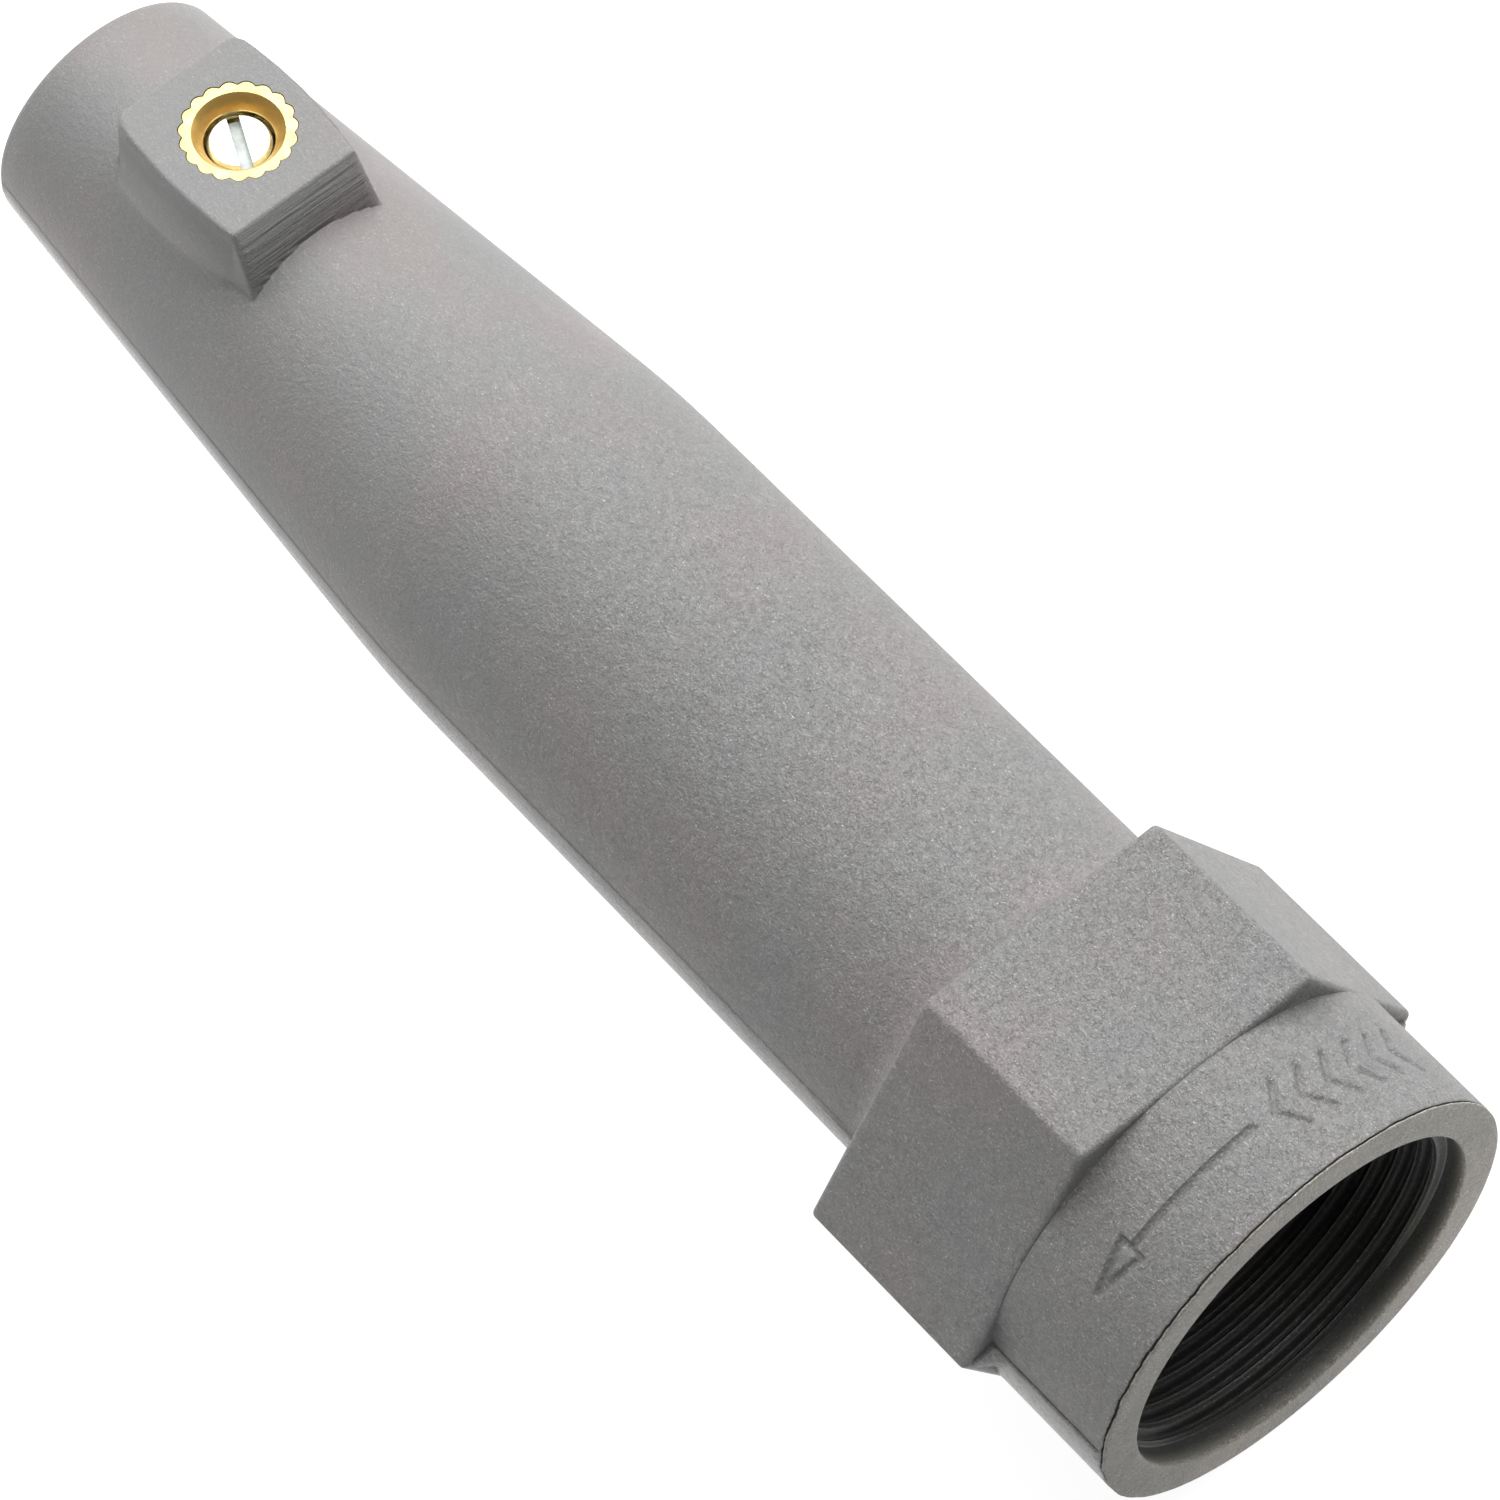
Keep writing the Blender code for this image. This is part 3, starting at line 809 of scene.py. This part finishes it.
def brass_insert(materials):
    """Knurled insert: lobed outside with a waist groove, countersunk threaded hole."""
    sheets = Sheets()
    base_x, base_y = knurl_outline(0.0, INSERT_STEPS)
    turn = np.arctan2(base_y, base_x)
    full = np.hypot(base_x, base_y)
    waist = np.minimum(full, INSERT_WAIST_RADIUS)
    levels = [(0.0, FLAT_RADIUS + 0.05), (0.0, full - INSERT_BEVEL)]
    levels += [(-0.03, full - 0.04), (-0.12, full), (-0.3, full), (-2.85, full)]
    levels += [(-2.95, full - 0.1), (-3.0, waist), (-4.0, waist), (-4.1, full - 0.1)]
    levels += [(-4.2, full), (-INSERT_LENGTH + 0.15, full), (-INSERT_LENGTH, full - 0.15)]
    bore = SCREW_HOLE_RADIUS
    levels += [(-INSERT_LENGTH, bore + 0.1), (-INSERT_LENGTH + 0.1, bore)]
    for height in np.arange(-INSERT_LENGTH + 0.4, -1.45, 0.1):
        levels.append((height, bore + insert_thread(height, turn)))
    levels += [(-CONE_DEPTH - 0.08, bore), (-CONE_DEPTH, bore + 0.03), (-0.05, FLAT_RADIUS - 0.03)]
    indices = sheets.add_points(turned_rings(levels, turn, BOSS_X, BOSS_TOP_Z) * MM)
    sheets.add_rings(indices, [0] * (len(levels) - 2) + [1])
    sheets.add_rings(np.stack([indices[-1], indices[0]]))
    return new_object(sheets.to_bmesh(), "brass_insert", materials)


def insert_thread(height, turn):
    """Depth of the insert's right-hand internal thread."""
    phase = (height / SCREW_PITCH - turn / math.tau) % 1.0
    shape = np.clip(0.35 - np.abs(phase - 0.5), 0.0, 0.2) * 1.2
    fade = smooth_step(height, -INSERT_LENGTH + 0.4, -INSERT_LENGTH + 0.9)
    return shape * fade * (1 - smooth_step(height, -1.9, -1.5))


def slotted_screw(materials):
    """Set screw: helical thread, chamfered slotted top and a flat point."""
    turn = np.arange(SCREW_STEPS) / SCREW_STEPS * math.tau
    sheets = Sheets()
    levels = [(0.0, SCREW_FACE - 0.06), (-0.05, SCREW_FACE), (-0.30, SCREW_CREST - 0.06)]
    for height in np.arange(-0.46, -SCREW_LENGTH + 0.55, -0.08):
        phase = (height / SCREW_PITCH - turn / math.tau) % 1.0
        ridge = np.clip((0.5 - np.abs(phase - 0.5)) * 2.6 - 0.25, 0.0, 1.0)
        fade = smooth_step(height, -SCREW_LENGTH + 0.5, -SCREW_LENGTH + 1.2)
        fade = fade * smooth_step(-height, 1.15, 1.5)
        crest = SCREW_CREST * (1 - fade) * 0.96 + SCREW_CREST * fade
        levels.append((height, crest - (SCREW_CREST - SCREW_ROOT) * (1 - ridge) * fade))
    levels += [(-SCREW_LENGTH + 0.45, SCREW_ROOT), (-SCREW_LENGTH, SCREW_ROOT - 0.5)]
    indices = sheets.add_points(turned_rings(levels, turn, 0.0, SCREW_TOP))
    sheets.add_rings(indices)
    sheets.faces += [indices[0].tolist(), indices[-1].tolist()[::-1]]
    sheets.slots += [0, 0]
    screw = new_object(sheets.to_bmesh(), "slotted_screw", materials)
    cutter = slot_cutter()
    cut = screw.modifiers.new("slot", "BOOLEAN")
    cut.operation = "DIFFERENCE"
    cut.solver = "EXACT"
    cut.object = cutter
    bpy.context.view_layer.update()
    evaluated = screw.evaluated_get(bpy.context.evaluated_depsgraph_get())
    mesh = bpy.data.meshes.new_from_object(evaluated)
    screw.modifiers.clear()
    screw.data = mesh
    bpy.data.objects.remove(cutter)
    mesh.transform(Matrix.Translation((BOSS_X, 0, AXIS_HEIGHT)))
    mesh.transform(Matrix.Scale(MM, 4))
    mesh.set_sharp_from_angle(angle=math.radians(35))
    return screw


def slot_cutter():
    """Long box with rounded bottom corners that cuts the screwdriver slot."""
    shape = bmesh.new()
    half, depth = SLOT_HALF_WIDTH, SLOT_DEPTH
    profile = [(-half - 0.05, 1.0), (-half, -0.06), (-half, -depth + 0.12), (-half + 0.12, -depth)]
    profile += [(half - 0.12, -depth), (half, -depth + 0.12), (half, -0.06), (half + 0.05, 1.0)]
    lean = math.radians(SLOT_TURN)
    loops = []
    for along in (-SLOT_REACH, SLOT_REACH):
        loop = []
        for across, height in profile:
            x = along * math.cos(lean) - across * math.sin(lean)
            y = along * math.sin(lean) + across * math.cos(lean)
            loop.append(shape.verts.new((x, y, SCREW_TOP + height)))
        loops.append(loop)
    for index in range(len(profile)):
        after = (index + 1) % len(profile)
        shape.faces.new([loops[0][index], loops[0][after], loops[1][after], loops[1][index]])
    shape.faces.new(loops[0])
    shape.faces.new(loops[1][::-1])
    for face in shape.faces:
        face.material_index = 1
    bmesh.ops.recalc_face_normals(shape, faces=shape.faces)
    return place("slot_cutter", plain_mesh("slot_cutter", shape))


# Materials

# Painted glints, and painted shade in folds and pits.
GLINT_COLOUR = (214, 212, 210)
FOLD_SHADE_COLOUR = (74, 72, 71)
PIT_SHADE_COLOUR = (70, 68, 67)
FIBRE_LAYERS = (((0.0, 0.0, 0.6), 9000), ((0.5, 0.9, -0.5), 10500))
CALM_FROM = -0.050
CALM_TO = 0.01
CALM_LEAST = 0.45
MOUTH_LIGHT_DEPTH = 1.25
PEEL_DEPTH = 0.00015
FINE_DEPTH = 0.00009
FOLD_DEPTH = 0.00003
SCRATCH_DEPTH = 0.0002
RIB_DEPTH = 0.00035
METAL_MARK_DEPTH = 0.00002


class Finish:
    """Small helper round one node material."""

    def __init__(self, name):
        self.material = bpy.data.materials.new(name)
        self.material.use_nodes = True
        self.tree = self.material.node_tree
        self.shader = self.tree.nodes["Principled BSDF"]
        self.where = self.node("ShaderNodeTexCoord").outputs["Object"]

    def node(self, kind, **values):
        """Add a node; keyword values set its properties or its input sockets."""
        made = self.tree.nodes.new(kind)
        for key, value in values.items():
            if hasattr(made, key):
                setattr(made, key, value)
            else:
                self.feed(made.inputs[key.replace("_", " ")], value)
        return made

    def feed(self, socket, value):
        """Link a socket, or set its value."""
        if isinstance(value, bpy.types.NodeSocket):
            self.tree.links.new(value, socket)
        else:
            socket.default_value = value

    def mark(self, name):
        """Strength of one of the marks that the points carry."""
        return self.node("ShaderNodeAttribute", attribute_name=name).outputs["Fac"]

    def stretched(self, scale, turn=(0, 0, 0)):
        """Object coordinates turned and scaled per axis."""
        mapping = self.node("ShaderNodeMapping", Scale=scale, Rotation=turn)
        self.feed(mapping.inputs["Vector"], self.where)
        return mapping.outputs["Vector"]

    def noise(self, per_metre, detail=2.0, rough=0.5, vector=None, distortion=0.0):
        """Noise from 0 to 1 with the given number of cells in a metre."""
        made = self.node("ShaderNodeTexNoise", Scale=per_metre, Detail=detail, Roughness=rough)
        made.inputs["Distortion"].default_value = distortion
        self.feed(made.inputs["Vector"], vector or self.where)
        return made.outputs["Fac"]

    def spread(self, value, low, high, new_low=0.0, new_high=1.0):
        """Map a range onto another, clamped."""
        made = self.node("ShaderNodeMapRange")
        for socket, amount in zip(made.inputs[1:5], (low, high, new_low, new_high)):
            socket.default_value = amount
        self.feed(made.inputs["Value"], value)
        return made.outputs["Result"]

    def step(self, kind, first, second):
        """One arithmetic step."""
        made = self.node("ShaderNodeMath", operation=kind)
        self.feed(made.inputs[0], first)
        self.feed(made.inputs[1], second)
        return made.outputs[0]

    def blend(self, share, first, second):
        """Mix two colours."""
        made = self.node("ShaderNodeMix", data_type="RGBA")
        self.feed(made.inputs[0], share)
        self.feed(made.inputs[6], first)
        self.feed(made.inputs[7], second)
        return made.outputs[2]

    def bump(self, height, distance, strength=1.0, below=None):
        """Add a bump layer on top of another."""
        made = self.node("ShaderNodeBump", Height=height, Distance=distance, Strength=strength)
        if below is not None:
            self.feed(made.inputs["Normal"], below)
        return made.outputs["Normal"]

    def set(self, **values):
        """Set or link the shader's own sockets."""
        for key, value in values.items():
            self.feed(self.shader.inputs[key.replace("_", " ")], value)


def colour(red, green, blue):
    """Linear colour from display values between 0 and 255."""
    linear = []
    for value in (red, green, blue):
        share = value / 255
        linear.append(share / 12.92 if share <= 0.04045 else ((share + 0.055) / 1.055) ** 2.4)
    return (*linear, 1.0)


def nylon(
    name, base, warm, cool, streak, roughness=0.44, grain=1.0, lip=None, ribbed=False, cut=False
):
    """Glass filled nylon: warm and cool patches, fibres, orange peel, pale specks painted as
    glints, and folds and pits painted dark as shade.

    The grain is calmer towards the small end. With `lip`, painted light: the tone turns to that
    colour over the last millimetre before the mouth. `ribbed` draws mould ribs where the points
    ask for them, and `cut` draws radial scratches."""
    skin = Finish(name)
    patches = skin.noise(70, 3.0, 0.6)
    tone = skin.blend(skin.spread(patches, 0.38, 0.5), warm, base)
    tone = skin.blend(skin.spread(patches, 0.5, 0.62), tone, cool)
    apart = skin.node("ShaderNodeSeparateXYZ")
    skin.feed(apart.inputs[0], skin.where)
    calm = skin.spread(apart.outputs["X"], CALM_FROM, CALM_TO, CALM_LEAST, 1.0)

    def calmed(value):
        return skin.step("MULTIPLY", value, calm)

    # Painted light: the tone turns lighter towards the mouth.
    if lip is not None:
        near = skin.spread(apart.outputs["X"], (MOUTH_X - MOUTH_LIGHT_DEPTH) * MM, MOUTH_X * MM)
        tone = skin.blend(near, tone, lip)
    sway = skin.noise(500, 1.0, 0.5)
    lift = skin.spread(skin.noise(4800, 3.0, 0.7), 0.3, 0.7, -0.5, 0.5)
    for turn, per_metre in FIBRE_LAYERS:
        along = skin.stretched((0.3, 1.0, 1.0), turn)
        fibre = skin.noise(per_metre, 1.5, 0.5, along, 0.25)
        share = skin.spread(fibre, 0.58, 0.74, 0.0, 0.42 * grain)
        share = skin.step("MULTIPLY", share, skin.spread(sway, 0.35, 0.6, 0.4, 1.0))
        tone = skin.blend(calmed(share), tone, streak)
    # Painted glints: scattered pale specks.
    specks = skin.spread(skin.noise(9000, 1.0, 0.4), 0.70, 0.77, 0.0, 0.85 * grain)
    tone = skin.blend(calmed(specks), tone, colour(*GLINT_COLOUR))
    # Painted shade along the fine folds, which the bump below also creases.
    folds = skin.noise(3500, 2.0, 0.6, None, 0.6)
    fold = skin.step("ABSOLUTE", skin.step("SUBTRACT", folds, 0.5), 0.0)
    broken = skin.spread(skin.noise(1500, 2.0, 0.5), 0.36, 0.6, 0.25, 1.0)
    dark = skin.step("MULTIPLY", skin.spread(fold, 0.0, 0.022, 0.34 * grain, 0.0), broken)
    tone = skin.blend(calmed(dark), tone, colour(*FOLD_SHADE_COLOUR))
    # Painted shade in small pits.
    pits = skin.spread(skin.noise(6400, 2.0, 0.5), 0.37, 0.28, 0.0, 0.6 * grain)
    tone = skin.blend(calmed(pits), tone, colour(*PIT_SHADE_COLOUR))
    # The tone mark brings in the painted light and shade set on the points.
    drawn = skin.mark("tone")
    shade = skin.node("ShaderNodeHueSaturation", Color=tone)
    grainy = skin.step("MULTIPLY_ADD", lift, skin.step("MULTIPLY", calm, 0.26 * grain))
    skin.feed(grainy.node.inputs[2], 1.0)
    skin.feed(shade.inputs["Value"], skin.step("MULTIPLY", grainy, drawn))
    peel = skin.noise(1700, 3.0, 0.6)
    fine = skin.noise(5200, 3.0, 0.65)
    normal = skin.bump(peel, PEEL_DEPTH * grain, skin.step("MULTIPLY", calm, 0.9))
    normal = skin.bump(fine, FINE_DEPTH * grain, calm, normal)
    crease = skin.step("MULTIPLY", skin.spread(fold, 0.0, 0.045, 1.0, 0.0), broken)
    normal = skin.bump(crease, -FOLD_DEPTH * grain, calmed(calm), normal)
    if cut:
        height = skin.step("SUBTRACT", apart.outputs["Z"], AXIS_HEIGHT * MM)
        swing = skin.step("MULTIPLY", skin.step("ARCTAN2", apart.outputs["Y"], height), 0.017)
        drift = skin.step("MULTIPLY", height, 0.12)
        along = skin.node("ShaderNodeCombineXYZ", X=swing, Y=drift)
        scratches = skin.noise(3800, 3.0, 0.7, along.outputs[0], 0.1)
        normal = skin.bump(scratches, SCRATCH_DEPTH, 1.0, normal)
    if ribbed:
        lines = skin.noise(2600, 2.0, 0.6, skin.stretched((1.0, 0.035, 1.0)), 0.15)
        share = skin.mark("ribs")
        normal = skin.bump(skin.step("MULTIPLY", lines, share), RIB_DEPTH, 1.0, normal)
    dull = skin.spread(patches, 0.3, 0.7, roughness - 0.05, roughness + 0.08)
    smoother = skin.mark("gloss")
    dull = skin.step("MULTIPLY", dull, skin.spread(smoother, 0.0, 1.0, 1.0, 0.5))
    skin.set(Base_Color=shade.outputs["Color"], Roughness=dull, Normal=normal)
    return skin.material


def patchy_metal(name, per_metre, bright, dull, metallic, rough):
    """Metal whose colour and roughness vary in soft patches."""
    finish = Finish(name)
    patches = finish.noise(per_metre, 3.0, 0.6)
    tone = finish.blend(finish.spread(patches, 0.35, 0.7), bright, dull)
    roughness = finish.spread(patches, 0.3, 0.7, rough, rough + 0.16)
    finish.set(Base_Color=tone, Metallic=metallic, Roughness=roughness)
    return finish


def turned_brass(name, bright, dull, metallic=1.0, rough=0.24):
    """Bright turned brass with fine marks and a little dull tarnish."""
    finish = patchy_metal(name, 700, bright, dull, metallic, rough)
    marks = finish.noise(9000, 2.0, 0.5)
    finish.set(Normal=finish.bump(marks, METAL_MARK_DEPTH, 0.6))
    return finish.material


def zinc_steel(name, bright, dull, metallic=1.0, rough=0.22):
    """Bright zinc plate with faint marks."""
    finish = patchy_metal(name, 1200, bright, dull, metallic, rough)
    marks = finish.noise(6000, 3.0, 0.6, finish.stretched((0.2, 1.0, 1.0), (0, 0, 0.4)))
    finish.set(Normal=finish.bump(marks, METAL_MARK_DEPTH, 0.7))
    return finish.material


FLOOR_FAR_SIDE = (-0.8, 0.6, 0.0)
FLOOR_GLOW_NEAR = 0.85
FLOOR_GLOW_FAR = 1.5
FLOOR_REACH = 4.0


def pale_floor():
    """Plain near-white ground that glows like a lit table, so shadows stay faint."""
    finish = Finish("pale_floor")
    finish.set(Base_Color=colour(95, 95, 95), Roughness=0.9)
    finish.set(Emission_Color=colour(255, 255, 255))
    across = finish.node("ShaderNodeVectorMath", operation="DOT_PRODUCT")
    finish.feed(across.inputs[0], finish.where)
    across.inputs[1].default_value = FLOOR_FAR_SIDE
    glow = finish.spread(across.outputs["Value"], -0.10, 0.20, FLOOR_GLOW_NEAR, FLOOR_GLOW_FAR)
    finish.set(Emission_Strength=glow)
    finish.shader.inputs["Specular IOR Level"].default_value = 0.0
    return finish.material


# The scene

SHELL_TONES = (colour(121, 120, 119), colour(124, 119, 118), colour(120, 121, 120))
SHELL_STREAK = colour(186, 184, 182)
# Painted shade: the crevice behind the rim's lip is the same nylon, darkened.
CREVICE_SHADE_TONES = (colour(52, 50, 48), colour(58, 55, 51), colour(48, 47, 46))
# Painted shade: the bore is the same nylon, darkened as little light gets inside.
BORE_SHADE_TONES = (colour(58, 59, 58), colour(60, 60, 56), colour(56, 59, 60))
# Painted light in the counterbore near the mouth.
BORE_MOUTH_LIGHT = colour(124, 122, 112)
RIM_TONES = (colour(126, 122, 116), colour(132, 125, 117), colour(122, 120, 113))
FLAT_TONES = (colour(232, 212, 148), colour(214, 186, 120))
CONE_TONES = (colour(226, 190, 112), colour(206, 164, 88))
ZINC_TONES = (colour(226, 226, 222), colour(196, 192, 182))
# Painted light: the slot is a pale, nearly non-metal copy of the zinc, so that its floor shows
# lit.
SLOT_LIGHT_TONES = (colour(204, 212, 210), colour(188, 192, 188))

shell_finish = nylon("grey_nylon", *SHELL_TONES, SHELL_STREAK, ribbed=True)
bore_shade_finish = nylon("shaded_bore", *BORE_SHADE_TONES, colour(96, 97, 92), 0.34, 0.5, BORE_MOUTH_LIGHT)
rim_finish = nylon("trimmed_rim", *RIM_TONES, colour(186, 184, 172), 0.42, 1.3, cut=True)
crevice_shade_finish = nylon("ragged_crevice_shade", *CREVICE_SHADE_TONES, colour(80, 78, 74), 0.6, 0.8)
shell = sleeve_shell([shell_finish, bore_shade_finish, rim_finish, crevice_shade_finish])
flat_brass = turned_brass("turned_brass", *FLAT_TONES)
cone_brass = turned_brass("countersunk_brass", *CONE_TONES, 0.7, 0.3)
insert = brass_insert([flat_brass, cone_brass])
face_zinc = zinc_steel("zinc_steel", *ZINC_TONES)
lit_slot_zinc = zinc_steel("lit_slot_zinc", *SLOT_LIGHT_TONES, 0.2, 0.45)
screw = slotted_screw([face_zinc, lit_slot_zinc])

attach(shell, "sleeve")
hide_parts("nozzle_body")
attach(insert, "sleeve")
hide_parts("threaded_insert")
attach(screw, "clamp_screw")
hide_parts("set_screw")

floor_shape = bmesh.new()
bmesh.ops.create_grid(floor_shape, x_segments=8, y_segments=8, size=FLOOR_REACH)
floor = new_object(floor_shape, "floor", [pale_floor()])

TARGET = Vector((0.007827, 0.000033, 0.017975))
CAMERA_ROLL = math.radians(0.1)
CAMERA_SIGHT = Vector((-0.39225823, 0.31427611, -0.86450217))
CAMERA_UP = Vector((-0.64880675, 0.57168849, 0.50221716))
CAMERA_DISTANCE = 0.550676
FOCAL_LENGTH = 186.064
SENSOR_WIDTH = 36.0
camera_data = bpy.data.cameras.new("camera")
camera_data.lens = FOCAL_LENGTH
camera_data.sensor_width = SENSOR_WIDTH
camera_data.clip_end = 20.0
camera = place("camera", camera_data)
back = -CAMERA_SIGHT.normalized()
side = CAMERA_UP.cross(back).normalized()
up = back.cross(side)
turned = Matrix((side, up, back)).transposed().to_4x4() @ Matrix.Rotation(CAMERA_ROLL, 4, "Z")
camera.matrix_world = Matrix.Translation(TARGET + back * CAMERA_DISTANCE) @ turned
bpy.context.scene.camera = camera


def soft_light(name, spot, size, power, aim=(0.0, 0.0, 0.01)):
    """Rectangular area light that faces a point."""
    data = bpy.data.lights.new(name, "AREA")
    data.shape = "RECTANGLE"
    data.size, data.size_y = size
    data.energy = power
    lamp = place(name, data)
    lamp.location = spot
    sight = Vector(aim) - Vector(spot)
    lamp.rotation_euler = sight.to_track_quat("-Z", "Y").to_euler()
    return lamp


soft_light("back_edge", (-0.1, 1.0, 0.42), (1.1, 0.6), 2.3)
small_end = soft_light("small_end", (-0.20, 0.05, 0.27), (0.25, 0.2), 0.37, (-0.05, 0.0, 0.03))
small_end.visible_glossy = False


TENT_SIDE = (-0.30, 0.28, 0.91)
TENT_FROM = 0.50
TENT_TO = 0.90
TENT_DIM = 0.03
TENT_BRIGHT = 3.1


def studio_world():
    """Soft tent: bright above and behind the sleeve, dim on the camera's side."""
    world = bpy.data.worlds.new("studio")
    world.use_nodes = True
    nodes, links = world.node_tree.nodes, world.node_tree.links
    nodes["Background"].inputs["Color"].default_value = (1.0, 1.0, 1.0, 1.0)
    where = nodes.new("ShaderNodeTexCoord")
    lean = nodes.new("ShaderNodeVectorMath")
    lean.operation = "DOT_PRODUCT"
    lean.inputs[1].default_value = Vector(TENT_SIDE).normalized()
    spread = nodes.new("ShaderNodeMapRange")
    spread.interpolation_type = "SMOOTHSTEP"
    for socket, amount in zip(spread.inputs[1:5], (TENT_FROM, TENT_TO, TENT_DIM, TENT_BRIGHT)):
        socket.default_value = amount
    links.new(where.outputs["Generated"], lean.inputs[0])
    links.new(lean.outputs["Value"], spread.inputs["Value"])
    links.new(spread.outputs["Result"], nodes["Background"].inputs["Strength"])
    return world


bpy.context.scene.world = studio_world()
bpy.context.scene.view_settings.view_transform = "Standard"
